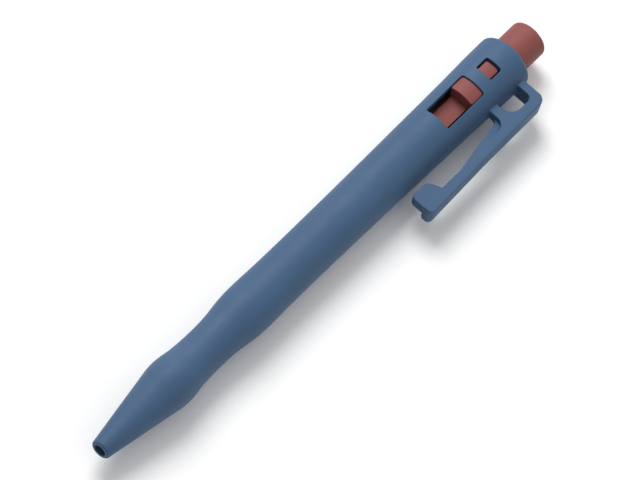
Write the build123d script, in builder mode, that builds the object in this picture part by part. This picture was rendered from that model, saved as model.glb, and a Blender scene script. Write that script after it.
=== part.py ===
from build123d import *
import os
from math import sqrt

os.makedirs("parts", exist_ok=True)

# A retractable ballpoint pen with a one-piece moulded housing. It lies along +X with its
# button at +X, its two windows up (+Z) and its pocket clip towards -Y. "Station" is the
# distance from the nose along the pen, "height" is measured up from the pen's own axis,
# and "reach" is measured from that axis towards the clip. All lengths are millimetres.

# ---- Driving dimensions ----
pen_length = 145.0  # nose to button, button out
housing_length = 137.0
top_radius = 6.65  # the housing's widest radius, at its top rim
clip_reach = 13.8  # the clip's outermost point
clip_width = 4.8

nose_x = -pen_length / 2
axis_y = (clip_reach - top_radius) / 2
axis_z = top_radius
pen_axis = Axis((nose_x, axis_y, axis_z), (1, 0, 0))


def side_plane():
    """Local x is the station and local y the height."""
    return Plane(origin=(nose_x, axis_y, axis_z), x_dir=(1, 0, 0), z_dir=(0, -1, 0))


def plan_plane(height=0.0):
    """Local x is the station and local y runs away from the clip."""
    return Plane(origin=(nose_x, axis_y, axis_z + height), x_dir=(1, 0, 0), z_dir=(0, 0, 1))


def under_plane():
    """Local x is the station and local y runs down, so that a revolved seam is underneath."""
    return Plane(origin=(nose_x, axis_y, axis_z), x_dir=(1, 0, 0), z_dir=(0, 1, 0))


def clip_plane(height=0.0):
    """Local x is the station and local y the reach towards the clip. Extrusions go down."""
    return Plane(origin=(nose_x, axis_y, axis_z + height), x_dir=(1, 0, 0), z_dir=(0, 0, -1))


def place(station, reach, height):
    """The point at a station, a reach towards the clip and a height."""
    return Vector(nose_x + station, axis_y - reach, axis_z + height)


def cross_plane(station):
    """Across the pen: local x is +Y, local y the height, and extrusions go to the button."""
    return Plane(origin=(nose_x + station, axis_y, axis_z), x_dir=(0, 1, 0), z_dir=(1, 0, 0))


# ---- Housing: outline, bore and windows ----
nose_corner_radius = 2.36
nose_rounding = 0.6
cone_end = (21.0, 5.62)
grip_peak = (23.5, 5.815)
waist = (34.4, 5.015)
shoulder = (49.5, 6.0)
body_end = (134.5, top_radius)
rim_rounding = 1.2
cone_slope = (cone_end[1] - nose_corner_radius) / cone_end[0]

mouth_radius = 1.5  # a short step in the nose, in front of the guide
mouth_depth = 1.2
mouth_taper = 0.35
guide_radius = 1.25  # guides the writing point
guide_end = 6.0
guide_taper = 1.0
nose_bore_radius = 1.75
spring_seat = 16.5  # the step that the spring stands on
spring_bore_radius = 2.35
spring_bore_end = 42.0
spring_bore_taper = 4.0
body_bore_radius = 4.2
plunger_bore_radius = 4.6
plunger_bore_start = 94.0  # below the carrier's lowest place
plunger_bore_taper = 1.0
bore_chamfer = 0.35

window_width = 6.4
window_low = 111.7
window_high = 124.0
tab_window_width = 4.3
tab_window_low = 127.2
tab_window_high = 130.9
window_corner = 0.45
window_cut_from = 1.5  # height above the axis, so that only the upper wall is cut
relief_radius = 4.5  # the undercut in the big window's end reaches in to here
relief_length = 0.5  # and this far past the end, so that the latch can bend

# ---- Pocket clip: a full-width band outside, and a thinner web inside it ----
arm_root = 115.5  # where the flexing arm leaves the fixed loop
arm_end = 94.8
arm_corner_reach = clip_reach + 0.046  # rounding the corner brings it to clip_reach
band_inner_reach = 11.0
band_mid_reach = 12.2  # the web's outlines end here, inside the band
clip_mid_reach = 13.06
clip_top_reach = 12.85
web_low = -0.4  # heights of the web's two faces; the upper one is flush with the band
web_high = clip_width / 2
slope_start = 108.0
crotch_reach = 8.55
crotch_rounding = 1.6
leg_low = 123.3
leg_high = 125.8
eye_high = 132.6
eye_reach = 10.4
eye_leg_rounding = 3.2
eye_top_rounding = 1.3
clip_top = 134.7
top_corner = 2.0
bump_reach = 7.65
bump_top_end = 100.2
bump_foot = 101.6
bump_roundings = (1.5, 2.2)
bump_step = 0.15  # the bump's upper face is this much lower than the band's
clip_edge = 0.3
wall_reach = 5.2  # the clip's outlines start here, inside the housing's wall
recess_start = 115.7  # the scoop in the crotch deepens from here to the foot of the leg
recess_depth = 1.3
recess_bend = (119.6, 0.42)  # a station on its floor, and the depth there
recess_reach = 10.6
recess_corner = 2.2
arm_end_rounding = 1.2
root_edge = 0.35
window_edge = 0.1

# ---- Plunger and latch ----
button_radius = 4.5
button_rounding = 0.9
button_foot = 131.4
carrier_low = 102.5
carrier_high = 111.4
latch_under = 1.1  # height of the latch tongue's underside
latch_over = 2.3
latch_half_width = 2.2
block_low = 120.0
block_width = 6.0
tab_high = tab_window_high - 0.4
tab_width = 3.5
latch_top_radius = 5.98
latch_corner = 0.5
latch_edge = 0.2
stop_gap = 0.03  # the block and the tab all but touch the windows' ends
channel_floor = -2.2  # height of the plunger channel under the tongue
button_wall = 1.5
button_cap = 2.0
seat_clearance = 0.04

# ---- Refill ----
point_setback = 4.2  # the ball's front, behind the nose with the button out
ball_radius = 0.5
ball_clearance = 0.012
ball_station = point_setback + ball_radius
rim_setback = 0.24  # the socket's rim is spun in over the ball's front
rim_radius = 0.52
point_radius = 1.15
point_cone_length = 3.2
point_end = 14.6
shank_radius = 0.85
shank_end = 19.0
tube_radius = 1.5
tube_wall = 0.2
holder_end = 24.0
tube_start = 20.0
refill_tail = 110.8
ink_end = 93.0
feed_radius = 0.3
holder_cone_length = 1.0
ear_start = 38.0
ear_length = 1.6
ear_radius = 2.1
ear_thickness = 0.9

# ---- Return spring ----
wire_radius = 0.19
spring_radius = 2.0  # to the wire's centre
spring_turns = 9


def outer_outline():
    """The housing's outline from its nose to the square corner of its top rim."""
    Line((0, nose_corner_radius), cone_end)
    Spline(cone_end, grip_peak, tangents=[(1, cone_slope), (1, 0)])
    Spline(
        grip_peak, (28.0, 5.36), waist, (41.0, 5.24), (45.0, 5.75), shoulder,
        tangents=[(1, 0), (1, 0)],
    )
    Spline(
        shoulder, (57.0, 5.87), (70.0, 5.81), (97.0, 6.04), (110.0, 6.21), (122.0, 6.4), body_end,
        tangents=[(1, 0), (1, 0)],
    )
    Line(body_end, (housing_length, top_radius))


def close_to_axis():
    Line((housing_length, top_radius), (housing_length, 0))
    Line((housing_length, 0), (0, 0))
    Line((0, 0), (0, nose_corner_radius))


def round_slot(low, high, width, corner):
    """The outline, seen from above, of a window or of what fills it."""
    with Locations(((low + high) / 2, 0)):
        RectangleRounded(high - low, width, corner)


def from_axis(point):
    return sqrt((point.Y - axis_y) ** 2 + (point.Z - axis_z) ** 2)


def between(edges, low, high):
    """The edges that keep between two distances from the pen's axis."""
    return [e for e in edges if all(low < from_axis(e @ t) < high for t in (0, 0.5, 1))]


def level_rims(piece, low, high):
    """The rims of a clip piece's level faces, between two stations and without inside corners."""
    rims = []
    for face in piece.faces().filter_by(Axis.Z):
        under_web = abs(face.center().Z - axis_z - web_low) < 0.01
        for edge in face.edges():
            reaches = [axis_y - (edge @ t).Y for t in (0, 0.5, 1)]
            in_wall = max(reaches) < top_radius - 1
            in_corner = under_web and min(reaches) > band_inner_reach - 0.1
            if low < (edge @ 0.5).X - nose_x < high and not in_wall and not in_corner:
                rims.append(edge)
    return rims


def slope_reach(station):
    """The reach of the web's sloping inner edge."""
    part_way = (station - slope_start) / (leg_low - slope_start)
    return band_inner_reach + part_way * (crotch_reach - band_inner_reach)


# The clip's fixed root, moulded with the housing: the leg, the lanyard eye and the top bar.
eye_split = eye_high - eye_top_rounding

# A scoop in the web's upper face, deepest at the foot of the leg.
with BuildPart() as crotch_scoop:
    with BuildSketch(side_plane()):
        with BuildLine():
            ThreePointArc(
                (recess_start, web_high),
                (recess_bend[0], web_high - recess_bend[1]),
                (leg_low, web_high - recess_depth),
            )
            Polyline(
                (leg_low, web_high - recess_depth),
                (leg_low, clip_reach),
                (recess_start, clip_reach),
                (recess_start, web_high),
            )
        make_face()
    extrude(amount=recess_reach)
    fillet(crotch_scoop.edges().filter_by(Axis.Z).sort_by(Axis.Y)[:1], recess_corner)

with BuildPart() as clip_root:
    with BuildSketch(clip_plane()):
        with BuildLine():
            FilletPolyline(
                (leg_low, eye_reach),
                (eye_high, eye_reach),
                (eye_high, wall_reach),
                (clip_top, wall_reach),
                (clip_top, clip_top_reach),
                (arm_root, clip_mid_reach),
                (arm_root, band_inner_reach),
                (leg_low, band_inner_reach),
                radius=[0, eye_top_rounding, 0, 0, top_corner, 0, 0, 0],
                close=True,
            )
        make_face()
    extrude(amount=clip_width / 2, both=True)
    with BuildSketch(clip_plane(web_high)):
        with BuildLine():
            FilletPolyline(
                (leg_low, wall_reach),
                (leg_low, crotch_reach),
                (arm_root, slope_reach(arm_root)),
                (arm_root, band_inner_reach),
                (eye_split, band_inner_reach),
                (eye_split, eye_reach),
                (leg_high, eye_reach),
                (leg_high, wall_reach),
                radius=[0, crotch_rounding, 0, 0, 0, 0, eye_leg_rounding, 0],
                close=True,
            )
        make_face()
    extrude(amount=web_high - web_low)
    add(crotch_scoop.part, mode=Mode.SUBTRACT)
    fillet(level_rims(clip_root, recess_start + 0.1, housing_length), clip_edge)
    # The scoop's own rim, along the inside of the crotch.
    scoop_rim = clip_root.edges().filter_by(
        lambda e: e.geom_type in (GeomType.ELLIPSE, GeomType.BSPLINE)
        and axis_y - (e @ 0.5).Y < slope_reach(arm_root)
    )
    fillet(scoop_rim, clip_edge)

# An undercut behind the big window's end. The latch's block swings into it as the tongue bends.
with BuildPart() as latch_relief:
    with BuildSketch(under_plane()):
        with BuildLine():
            Polyline(
                (window_high - window_corner, latch_top_radius),
                (window_high, latch_top_radius),
                (window_high + relief_length, relief_radius),
                (window_high - window_corner, relief_radius),
                close=True,
            )
        make_face()
    revolve(axis=pen_axis)
    with BuildSketch(plan_plane(window_cut_from)):
        with Locations((window_high, 0)):
            Rectangle(2 * relief_length + 2 * window_corner, window_width)
    extrude(amount=top_radius, mode=Mode.INTERSECT)

with BuildPart() as housing:
    with BuildSketch(under_plane()):
        with BuildLine():
            outer_outline()
            close_to_axis()
        make_face()
    revolve(axis=pen_axis)
    fillet(housing.edges().filter_by(GeomType.CIRCLE).sort_by(Axis.X)[0], nose_rounding)
    fillet(housing.edges().filter_by(GeomType.CIRCLE).sort_by(Axis.X)[-1], rim_rounding)
    add(clip_root.part)
    fillet(between(housing.edges(Select.LAST), top_radius - 0.5, top_radius + 0.1), root_edge)
    # The bore, from the nose, past the guide for the point, to the button's mouth.
    with BuildSketch(under_plane()):
        with BuildLine():
            Polyline(
                (0, 0),
                (0, mouth_radius),
                (mouth_depth, mouth_radius),
                (mouth_depth + mouth_taper, guide_radius),
                (guide_end, guide_radius),
                (guide_end + guide_taper, nose_bore_radius),
                (spring_seat, nose_bore_radius),
                (spring_seat, spring_bore_radius),
                (spring_bore_end, spring_bore_radius),
                (spring_bore_end + spring_bore_taper, body_bore_radius),
                (plunger_bore_start - plunger_bore_taper, body_bore_radius),
                (plunger_bore_start, plunger_bore_radius),
                (housing_length - bore_chamfer, plunger_bore_radius),
                (housing_length, plunger_bore_radius + bore_chamfer),
                (housing_length, 0),
                (0, 0),
            )
        make_face()
    revolve(axis=pen_axis, mode=Mode.SUBTRACT)
    with BuildSketch(plan_plane(window_cut_from)):
        round_slot(window_low, window_high, window_width, window_corner)
        round_slot(tab_window_low, tab_window_high, tab_window_width, window_corner)
    extrude(amount=top_radius, mode=Mode.SUBTRACT)
    fillet(between(housing.edges(Select.LAST), top_radius - 0.6, top_radius + 0.1), window_edge)
    add(latch_relief.part, mode=Mode.SUBTRACT)

# The bump that grips a pocket's edge. Its outline ends inside the arm's band.
with BuildPart() as clip_bump:
    with BuildSketch(clip_plane(web_high - bump_step)):
        with BuildLine():
            FilletPolyline(
                (arm_end, band_mid_reach),
                (arm_end, bump_reach),
                (bump_top_end, bump_reach),
                (bump_foot, band_inner_reach),
                (bump_foot, band_mid_reach),
                radius=[0, bump_roundings[0], bump_roundings[1], 0, 0],
                close=True,
            )
        make_face()
    extrude(amount=web_high - bump_step - web_low)
    fillet(clip_bump.faces().filter_by(Axis.Z).edges(), clip_edge)

# The clip's flexing arm.
with BuildPart() as clip_arm:
    with BuildSketch(clip_plane()):
        with BuildLine():
            FilletPolyline(
                (arm_root, band_inner_reach),
                (arm_end, band_inner_reach),
                (arm_end, arm_corner_reach),
                (arm_root, clip_mid_reach),
                radius=[0, arm_end_rounding, arm_end_rounding, 0],
                close=True,
            )
        make_face()
    extrude(amount=clip_width / 2, both=True)
    with BuildSketch(clip_plane(web_high)):
        with BuildLine():
            Polyline(
                (slope_start, band_inner_reach),
                (arm_root, slope_reach(arm_root)),
                (arm_root, band_mid_reach),
                (slope_start, band_mid_reach),
                close=True,
            )
        make_face()
    extrude(amount=web_high - web_low)
    fillet(level_rims(clip_arm, 0, arm_root - 0.1), clip_edge)
    add(clip_bump.part)

# The plunger, one moulding: the button, a channel under the latch, and the refill's carrier.
with BuildPart() as plunger:
    with BuildSketch(cross_plane(carrier_low)):
        Circle(button_radius)
    extrude(amount=pen_length - carrier_low)
    fillet(plunger.edges().filter_by(GeomType.CIRCLE).sort_by(Axis.X)[-1], button_rounding)
    # The channel that the latch tongue bends into.
    with BuildSketch(side_plane()):
        with Locations((carrier_high, channel_floor)):
            Rectangle(button_foot - carrier_high, 2 * button_radius, align=(Align.MIN, Align.MIN))
    extrude(amount=button_radius, both=True, mode=Mode.SUBTRACT)
    # The refill's seat.
    with BuildSketch(cross_plane(carrier_low)):
        Circle(tube_radius + seat_clearance)
    extrude(amount=refill_tail - carrier_low, mode=Mode.SUBTRACT)
    # The button is hollow from its foot, so that its wall stays even.
    with BuildSketch(cross_plane(button_foot)):
        Circle(button_radius - button_wall)
    extrude(amount=pen_length - button_cap - button_foot, mode=Mode.SUBTRACT)

# The latch tongue, which is moulded with the plunger and bends at its root. Its block is
# pressed to let the button out, and its tab catches the bridge between the two windows.
with BuildPart() as latch_tongue:
    with BuildSketch(plan_plane(latch_under)):
        with Locations((carrier_high, 0)):
            Rectangle(tab_high - carrier_high, 2 * latch_half_width, align=(Align.MIN, Align.CENTER))
    extrude(amount=latch_over - latch_under)
    with BuildSketch(plan_plane(latch_over)):
        round_slot(block_low, window_high - stop_gap, block_width, latch_corner)
        round_slot(tab_window_low + stop_gap, tab_high, tab_width, latch_corner)
    extrude(amount=latch_top_radius)
    # The tops follow the housing's roundness.
    with BuildSketch(cross_plane(carrier_high)):
        Circle(latch_top_radius)
    extrude(amount=tab_high - carrier_high, mode=Mode.INTERSECT)
    tops = latch_tongue.faces().filter_by(GeomType.CYLINDER).sort_by(SortBy.AREA)[-2:]
    fillet(tops.edges(), latch_edge)

# ---- The refill ----
with BuildPart() as writing_point:
    socket_radius = ball_radius + ball_clearance
    socket_rim = sqrt(socket_radius**2 - rim_setback**2)
    socket_back = sqrt(socket_radius**2 - feed_radius**2)
    with BuildSketch(side_plane()):
        with BuildLine():
            Polyline(
                (ball_station - rim_setback, socket_rim),
                (ball_station - rim_setback, rim_radius),
                (point_setback + point_cone_length, point_radius),
                (point_end, point_radius),
                (point_end, shank_radius),
                (shank_end, shank_radius),
                (shank_end, feed_radius),
                (ball_station + socket_back, feed_radius),
            )
            ThreePointArc(
                (ball_station + socket_back, feed_radius),
                (ball_station, socket_radius),
                (ball_station - rim_setback, socket_rim),
            )
        make_face()
    revolve(axis=pen_axis)

with BuildPart(cross_plane(ball_station)) as writing_ball:
    Sphere(ball_radius)

with BuildPart() as point_holder:
    with BuildSketch(side_plane()):
        with BuildLine():
            Polyline(
                (point_end, shank_radius),
                (point_end, point_radius),
                (point_end + holder_cone_length, tube_radius),
                (tube_start, tube_radius),
                (tube_start, tube_radius - tube_wall),
                (holder_end, tube_radius - tube_wall),
                (holder_end, feed_radius),
                (shank_end, feed_radius),
                (shank_end, shank_radius),
                close=True,
            )
        make_face()
    revolve(axis=pen_axis)

with BuildPart() as refill_tube:
    with BuildSketch(cross_plane(tube_start)):
        Circle(tube_radius)
        Circle(tube_radius - tube_wall, mode=Mode.SUBTRACT)
    extrude(amount=refill_tail - tube_start)
    # Two ears, squeezed out of the tube's wall, that the return spring pushes on.
    with BuildSketch(cross_plane(ear_start)):
        Rectangle(2 * ear_radius, ear_thickness)
        Circle(tube_radius - tube_wall / 2, mode=Mode.SUBTRACT)
    extrude(amount=ear_length)

with BuildPart() as ink_column:
    with BuildSketch(cross_plane(holder_end)):
        Circle(tube_radius - tube_wall)
    extrude(amount=ink_end - holder_end)

# ---- The return spring: open coils, with a closed coil at each end ----
with BuildPart() as return_spring:
    coil_pitch = (ear_start - spring_seat - 2 * wire_radius) / spring_turns
    with BuildLine():
        coil = Helix(
            pitch=coil_pitch,
            height=coil_pitch * spring_turns,
            radius=spring_radius,
            center=place(spring_seat + wire_radius, 0, 0),
            direction=(1, 0, 0),
        )
    with BuildSketch(Plane(origin=coil @ 0, z_dir=coil % 0)):
        Circle(wire_radius)
    sweep()

for name, piece in (
    ("housing", housing),
    ("clip_arm", clip_arm),
    ("plunger", plunger),
    ("latch_tongue", latch_tongue),
    ("return_spring", return_spring),
    ("writing_point", writing_point),
    ("writing_ball", writing_ball),
    ("point_holder", point_holder),
    ("refill_tube", refill_tube),
    ("ink_column", ink_column),
):
    piece.part.label = name
    export_step(piece.part, f"parts/{name}.step")
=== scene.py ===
"""A retractable ballpoint pen with a one-piece slate-blue housing and a brick-red push button."""

import math

import bmesh
import bpy
from mathutils import Matrix, Vector


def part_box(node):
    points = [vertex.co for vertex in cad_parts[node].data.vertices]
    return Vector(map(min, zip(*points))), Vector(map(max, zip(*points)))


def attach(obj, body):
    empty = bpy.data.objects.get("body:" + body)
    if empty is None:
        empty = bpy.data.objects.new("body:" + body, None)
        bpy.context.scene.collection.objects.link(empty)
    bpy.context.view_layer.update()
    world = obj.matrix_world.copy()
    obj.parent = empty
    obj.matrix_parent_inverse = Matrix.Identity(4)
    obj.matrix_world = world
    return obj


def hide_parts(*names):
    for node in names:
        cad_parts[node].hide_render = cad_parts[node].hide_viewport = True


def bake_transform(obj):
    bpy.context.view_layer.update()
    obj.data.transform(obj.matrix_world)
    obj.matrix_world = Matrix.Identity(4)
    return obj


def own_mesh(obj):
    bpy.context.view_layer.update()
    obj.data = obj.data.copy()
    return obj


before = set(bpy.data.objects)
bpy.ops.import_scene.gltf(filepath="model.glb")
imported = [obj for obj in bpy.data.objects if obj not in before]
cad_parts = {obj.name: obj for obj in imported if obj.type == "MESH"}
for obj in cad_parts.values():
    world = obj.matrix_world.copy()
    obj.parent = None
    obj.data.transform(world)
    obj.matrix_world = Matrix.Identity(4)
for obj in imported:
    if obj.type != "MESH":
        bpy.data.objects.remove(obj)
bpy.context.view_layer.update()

# ---- Where the pen lies, in metres: +X to the button, -Y to the clip, +Z out of the windows ----
MM = 0.001
housing_low, housing_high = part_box("housing")
AXIS_Z = (housing_low.z + housing_high.z) / 2
AXIS_Y = housing_high.y - (housing_high.z - housing_low.z) / 2
NOSE_X = housing_low.x
PEN_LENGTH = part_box("plunger")[1].x - NOSE_X


def place(station, reach=0.0, height=0.0):
    """A point from its distance behind the nose, towards the clip and above the axis, in mm."""
    return Vector((NOSE_X + station * MM, AXIS_Y - reach * MM, AXIS_Z + height * MM))


PEN_MIDDLE = place(0) + Vector((PEN_LENGTH / 2, 0, 0))


def add_object(name, data):
    obj = bpy.data.objects.new(name, data)
    bpy.context.scene.collection.objects.link(obj)
    return obj


# ---- Camera: the windows face it, the nose is nearer, and the pen climbs to the right ----
TO_CAMERA = Vector((-0.454, -0.185, 0.872)).normalized()
PEN_ANGLE = math.radians(43.86)
CAMERA_DISTANCE = 4.5  # far off, as the picture shows almost no perspective
VIEW_WIDTH = 138.528 * MM  # what the frame takes in at the pen
AIM_RIGHT, AIM_UP = 0.736 * MM, 0.509 * MM  # the frame's centre, from the pen's middle
SENSOR_WIDTH = 36.0
CLIP_START, CLIP_END = 0.05, 20.0


def picture_axes():
    """The directions that point right and up in the picture."""
    along = Vector((1, 0, 0))
    along = (along - along.dot(TO_CAMERA) * TO_CAMERA).normalized()
    across = TO_CAMERA.cross(along)
    right = math.cos(PEN_ANGLE) * along - math.sin(PEN_ANGLE) * across
    up = math.sin(PEN_ANGLE) * along + math.cos(PEN_ANGLE) * across
    return right, up


def add_camera():
    right, up = picture_axes()
    aim = PEN_MIDDLE + AIM_RIGHT * right + AIM_UP * up
    data = bpy.data.cameras.new("camera")
    data.sensor_width = SENSOR_WIDTH
    data.lens = SENSOR_WIDTH * CAMERA_DISTANCE / VIEW_WIDTH
    data.clip_start, data.clip_end = CLIP_START, CLIP_END
    camera = add_object("camera", data)
    turn = Matrix((right, up, TO_CAMERA)).transposed().to_4x4()
    camera.matrix_world = Matrix.Translation(aim + CAMERA_DISTANCE * TO_CAMERA) @ turn
    bpy.context.scene.camera = camera


# ---- Light: a soft key above the side away from the clip, and a pale surround ----
def add_area_light(name, direction, distance, size, power):
    data = bpy.data.lights.new(name, "AREA")
    data.shape, data.size, data.energy = "DISK", size, power
    lamp = add_object(name, data)
    towards = Vector(direction).normalized()
    lamp.location = PEN_MIDDLE + distance * towards
    lamp.rotation_euler = (-towards).to_track_quat("-Z", "Y").to_euler()


def set_range(node, start, end, low, high):
    """Makes a Map Range node take start..end to low..high."""
    node.inputs["From Min"].default_value = start
    node.inputs["From Max"].default_value = end
    node.inputs["To Min"].default_value = low
    node.inputs["To Max"].default_value = high


SURROUND_DIM_AT, SURROUND_BRIGHT_AT = -0.3, 0.9  # cosines of the angle from its bright side


def add_world(towards, dim, bright):
    """A pale surround, bright towards one direction and dim away from it."""
    world = bpy.data.worlds.new("studio")
    world.use_nodes = True
    tree = world.node_tree
    background = tree.nodes["Background"]
    background.inputs["Color"].default_value = (1, 1, 1, 1)
    facing = tree.nodes.new("ShaderNodeVectorMath")
    facing.operation = "DOT_PRODUCT"
    facing.inputs[1].default_value = Vector(towards).normalized()
    ramp = tree.nodes.new("ShaderNodeMapRange")
    ramp.interpolation_type = "SMOOTHSTEP"
    set_range(ramp, SURROUND_DIM_AT, SURROUND_BRIGHT_AT, dim, bright)
    tree.links.new(tree.nodes.new("ShaderNodeTexCoord").outputs["Generated"], facing.inputs[0])
    tree.links.new(facing.outputs["Value"], ramp.inputs["Value"])
    tree.links.new(ramp.outputs["Result"], background.inputs["Strength"])
    bpy.context.scene.world = world


# ---- Materials ----
class Shader:
    """A Principled shader with texture nodes in the object's own coordinates."""

    def __init__(self, name, **constants):
        self.material = bpy.data.materials.new(name)
        self.material.use_nodes = True
        self.tree = self.material.node_tree
        self.shader = self.tree.nodes["Principled BSDF"]
        for socket, value in constants.items():
            self.shader.inputs[socket.replace("_", " ")].default_value = value
        self.place = self.add("ShaderNodeTexCoord").outputs["Object"]

    def add(self, kind, **settings):
        node = self.tree.nodes.new(kind)
        for setting, value in settings.items():
            setattr(node, setting, value)
        return node

    def link(self, output, socket):
        self.tree.links.new(output, socket)

    def noise(self, size, stretch=(1, 1, 1), detail=2.0):
        """Noise with features about size metres across, longer along an axis with more stretch."""
        scale = self.add("ShaderNodeMapping")
        scale.inputs["Scale"].default_value = [1 / (size * s) for s in stretch]
        self.link(self.place, scale.inputs["Vector"])
        noise = self.add("ShaderNodeTexNoise")
        noise.inputs["Scale"].default_value = 1.0
        noise.inputs["Detail"].default_value = detail
        self.link(scale.outputs["Vector"], noise.inputs["Vector"])
        return noise.outputs["Fac"]

    def spread(self, value, low, high, start=0.3, end=0.7):
        """Maps a noise value from start..end to low..high."""
        node = self.add("ShaderNodeMapRange")
        set_range(node, start, end, low, high)
        self.link(value, node.inputs["Value"])
        return node.outputs["Result"]

    def mix(self, factor, first, second):
        node = self.add("ShaderNodeMix", data_type="RGBA")
        self.link(factor, node.inputs["Factor"])
        for name, colour in (("A", first), ("B", second)):
            socket = [s for s in node.inputs if s.name == name and s.type == "RGBA"][0]
            if isinstance(colour, tuple):
                socket.default_value = (*colour, 1)
            else:
                self.link(colour, socket)
        return [s for s in node.outputs if s.type == "RGBA"][0]

    def bump(self, value, height, strength=1.0, over=None):
        node = self.add("ShaderNodeBump")
        node.inputs["Strength"].default_value = strength
        node.inputs["Distance"].default_value = height
        self.link(value, node.inputs["Height"])
        if over is not None:
            self.link(over, node.inputs["Normal"])
        return node.outputs["Normal"]

    def finish(self, colour, roughness, normal):
        self.link(colour, self.shader.inputs["Base Color"])
        self.link(roughness, self.shader.inputs["Roughness"])
        self.link(normal, self.shader.inputs["Normal"])
        return self.material


def linear(red, green, blue):
    """A colour given as 0-255 display values."""
    return tuple(
        c / 255 / 12.92 if c <= 10 else ((c / 255 + 0.055) / 1.055) ** 2.4
        for c in (red, green, blue)
    )


def shade(colour, amount):
    return tuple(min(1.0, c * amount) for c in colour)


def moulded_plastic(name, colour, roughness):
    """Satin moulded plastic: a spark-eroded grain, faint flow marks and a few rubbed patches."""
    s = Shader(name, IOR=1.48, Specular_IOR_Level=0.3)
    grain = s.noise(0.16 * MM, detail=3.0)
    flow = s.noise(9 * MM, stretch=(2.5, 1, 1), detail=2.0)
    rubbed = s.noise(4 * MM, stretch=(1.6, 1, 1), detail=5.0)
    clouds = s.mix(s.spread(flow, 0, 1), shade(colour, 0.95), shade(colour, 1.05))
    specks = s.mix(s.spread(grain, 0, 0.12, 0.35, 0.75), clouds, shade(colour, 1.5))
    gloss = s.spread(rubbed, roughness - 0.05, roughness + 0.05)
    waves = s.bump(flow, 0.02 * MM, 0.25)
    return s.finish(specks, gloss, s.bump(grain, 0.012 * MM, 0.5, waves))


def drawn_metal(name, colour, roughness, along=30.0):
    """Metal with fine lines along the pen, as drawing leaves them, or around it if along < 1."""
    s = Shader(name, Metallic=1.0)
    lines = s.noise(0.05 * MM, stretch=(along, 1, 1), detail=3.0)
    stains = s.noise(3 * MM, detail=4.0)
    tone = s.mix(s.spread(lines, 0, 1), shade(colour, 0.88), shade(colour, 1.08))
    tone = s.mix(s.spread(stains, 0, 0.25), tone, shade(colour, 0.72))
    gloss = s.spread(stains, roughness - 0.06, roughness + 0.08)
    return s.finish(tone, gloss, s.bump(lines, 0.004 * MM, 0.6))


def polished_carbide(name, colour):
    s = Shader(name, Metallic=1.0)
    grains = s.noise(0.02 * MM, detail=4.0)
    tone = s.mix(s.spread(grains, 0, 1), shade(colour, 0.85), colour)
    return s.finish(tone, s.spread(grains, 0.14, 0.26), s.bump(grains, 0.001 * MM, 0.5))


def paste_ink(name, colour):
    s = Shader(name, IOR=1.45, Coat_Weight=0.4, Coat_Roughness=0.1)
    drift = s.noise(1.5 * MM, stretch=(3, 1, 1), detail=3.0)
    tone = s.mix(s.spread(drift, 0, 1), shade(colour, 0.7), colour)
    return s.finish(tone, s.spread(drift, 0.16, 0.3), s.bump(drift, 0.02 * MM, 0.3))


def studio_floor(name):
    s = Shader(name, Specular_IOR_Level=0.2)
    paper = s.noise(1.2 * MM, detail=3.0)
    tone = s.mix(s.spread(paper, 0, 1), (0.94, 0.94, 0.94), (0.96, 0.96, 0.96))
    return s.finish(tone, s.spread(paper, 0.7, 0.8), s.bump(paper, 0.02 * MM, 0.2))


SLATE_BLUE = linear(62, 90, 121)
BRICK_RED = linear(131, 72, 68)
MATERIALS = {
    "housing_plastic": moulded_plastic("housing_plastic", SLATE_BLUE, 0.58),
    "plunger_plastic": moulded_plastic("plunger_plastic", BRICK_RED, 0.58),
    "spring_steel": drawn_metal("spring_steel", linear(190, 191, 196), 0.3, along=0.3),
    "tube_steel": drawn_metal("tube_steel", linear(205, 205, 208), 0.28),
    "point_metal": drawn_metal("point_metal", linear(215, 205, 180), 0.24, along=0.1),
    "holder_brass": drawn_metal("holder_brass", linear(216, 180, 110), 0.3, along=0.1),
    "ball_carbide": polished_carbide("ball_carbide", linear(150, 150, 155)),
    "red_ink": paste_ink("red_ink", linear(150, 20, 28)),
}


def dress(obj, slot):
    obj.data.materials.clear()
    obj.data.materials.append(MATERIALS[slot])


# ---- Pieces in place of their rigid CAD nodes: meshes cut across where they bend, and a spring with closed ends ----
SMOOTH_UNDER = math.radians(28)


def smooth_by_angle(mesh):
    """Shades the mesh smooth, with its sharp edges kept."""
    solid = bmesh.new()
    solid.from_mesh(mesh)
    for face in solid.faces:
        face.smooth = True
    for edge in solid.edges:
        edge.smooth = edge.calc_face_angle(0) < SMOOTH_UNDER
    solid.to_mesh(mesh)
    solid.free()


def sliced_copy(name, node, start, end, step):
    """A copy of a CAD node's mesh, cut across at every step mm from start to end, to bend there."""
    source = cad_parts[node]
    mesh = bpy.data.meshes.new(name)
    solid = bmesh.new()
    solid.from_mesh(source.data)
    solid.transform(source.matrix_world)
    bmesh.ops.remove_doubles(solid, verts=solid.verts, dist=0.0005 * MM)
    for number in range(1, math.ceil((end - start) / step)):
        bmesh.ops.bisect_plane(
            solid,
            geom=solid.verts[:] + solid.edges[:] + solid.faces[:],
            dist=0.0005 * MM,
            plane_co=place(start + number * step),
            plane_no=(1, 0, 0),
        )
    bmesh.ops.triangulate(solid, faces=solid.faces)
    solid.to_mesh(mesh)
    solid.free()
    smooth_by_angle(mesh)
    return add_object(name, mesh)


def make_clip_arm():
    """The flexing arm, which bends over the half of its length next to its root."""
    arm = sliced_copy("clip_arm_flexing", "clip_arm", 104.0, 115.5, 0.5)
    dress(arm, "housing_plastic")
    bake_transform(arm)
    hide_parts("clip_arm")


def make_latch_tongue():
    """The latch tongue, which bends over the thin strip between its root and its block."""
    tongue = sliced_copy("latch_tongue_flexing", "latch_tongue", 111.4, 119.5, 0.4)
    dress(tongue, "plunger_plastic")
    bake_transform(tongue)
    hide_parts("latch_tongue")


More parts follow.
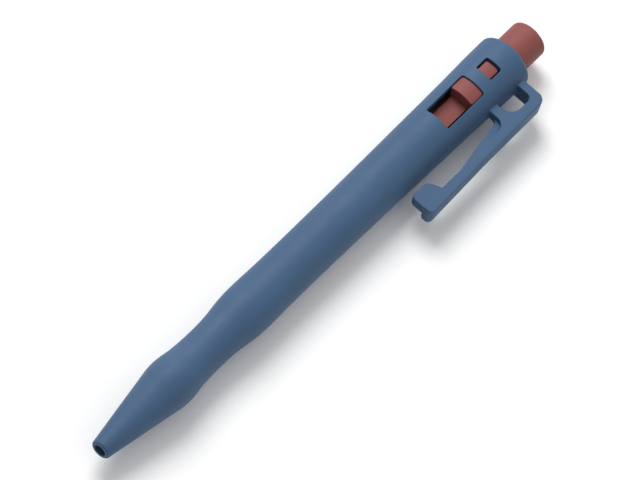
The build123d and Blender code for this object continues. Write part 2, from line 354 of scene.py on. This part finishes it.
# The return spring, installed between its seat and the refill's ears.
SPRING_START, SPRING_END, SPRING_TRAVEL = 16.5, 38.0, 7.1
SPRING_RADIUS, WIRE_RADIUS = 2.0, 0.19
CLOSED_TURNS, OPEN_TURNS = 1.5, 8
STEPS_PER_TURN, WIRE_SIDES = 48, 12
PITCH_EASING = 0.25  # how much the pitch narrows towards the closed turns


def spring_line():
    """Points along the wire, closed up at both ends: (turns, distance from the seat) in mm."""
    free = SPRING_END - SPRING_START - 2 * WIRE_RADIUS * (2 * CLOSED_TURNS + 1)
    turns = 2 * CLOSED_TURNS + OPEN_TURNS
    line = []
    for step in range(int(turns * STEPS_PER_TURN) + 1):
        turn = step / STEPS_PER_TURN
        part = min(max((turn - CLOSED_TURNS) / OPEN_TURNS, 0), 1)
        eased = part - PITCH_EASING * math.sin(2 * math.pi * part) / (2 * math.pi)
        closed = min(turn, CLOSED_TURNS) + max(turn - CLOSED_TURNS - OPEN_TURNS, 0)
        line.append((turn, WIRE_RADIUS * (1 + 2 * closed) + free * eased))
    return line


def make_return_spring():
    solid = bmesh.new()
    rings = []
    for turn, distance in spring_line():
        angle = 2 * math.pi * turn
        ring = []
        for side in range(WIRE_SIDES):
            around = 2 * math.pi * side / WIRE_SIDES
            radius = SPRING_RADIUS + WIRE_RADIUS * math.cos(around)
            along = distance + WIRE_RADIUS * math.sin(around)
            # The end coils are ground flat.
            along = min(max(along, 0.0), SPRING_END - SPRING_START)
            ring.append(
                solid.verts.new(
                    place(SPRING_START + along, radius * math.cos(angle), radius * math.sin(angle))
                )
            )
        rings.append(ring)
    for first, second in zip(rings, rings[1:]):
        for side in range(WIRE_SIDES):
            after = (side + 1) % WIRE_SIDES
            solid.faces.new((first[side], first[after], second[after], second[side]))
    solid.faces.new(rings[0][::-1])
    solid.faces.new(rings[-1])
    bmesh.ops.recalc_face_normals(solid, faces=solid.faces)
    mesh = bpy.data.meshes.new("return_spring_closed_ends")
    solid.to_mesh(mesh)
    solid.free()
    smooth_by_angle(mesh)
    spring = add_object("return_spring_closed_ends", mesh)
    dress(spring, "spring_steel")
    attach(spring, "housing")
    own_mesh(spring)
    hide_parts("return_spring")


add_camera()
add_world((0.45, 0.1, 0.85), 0.1, 0.72)
add_area_light("key", (0.3, 0.6, 0.85), 0.8, 0.5, 5.0)
add_area_light("fill", (0.1, -0.9, 0.45), 0.8, 0.6, 0.6)

for node, slot in (
    ("housing", "housing_plastic"),
    ("plunger", "plunger_plastic"),
    ("refill_tube", "tube_steel"),
    ("point_holder", "holder_brass"),
    ("writing_point", "point_metal"),
    ("writing_ball", "ball_carbide"),
    ("ink_column", "red_ink"),
):
    dress(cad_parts[node], slot)
make_clip_arm()
make_latch_tongue()
make_return_spring()

FLOOR_REACH = 3.0
mesh = bpy.data.meshes.new("floor")
corners = [(FLOOR_REACH * x, FLOOR_REACH * y, 0) for x, y in ((-1, -1), (1, -1), (1, 1), (-1, 1))]
mesh.from_pydata(corners, [], [(0, 1, 2, 3)])
mesh.materials.append(studio_floor("floor"))
add_object("floor", mesh)

bpy.context.scene.view_settings.view_transform = "Standard"
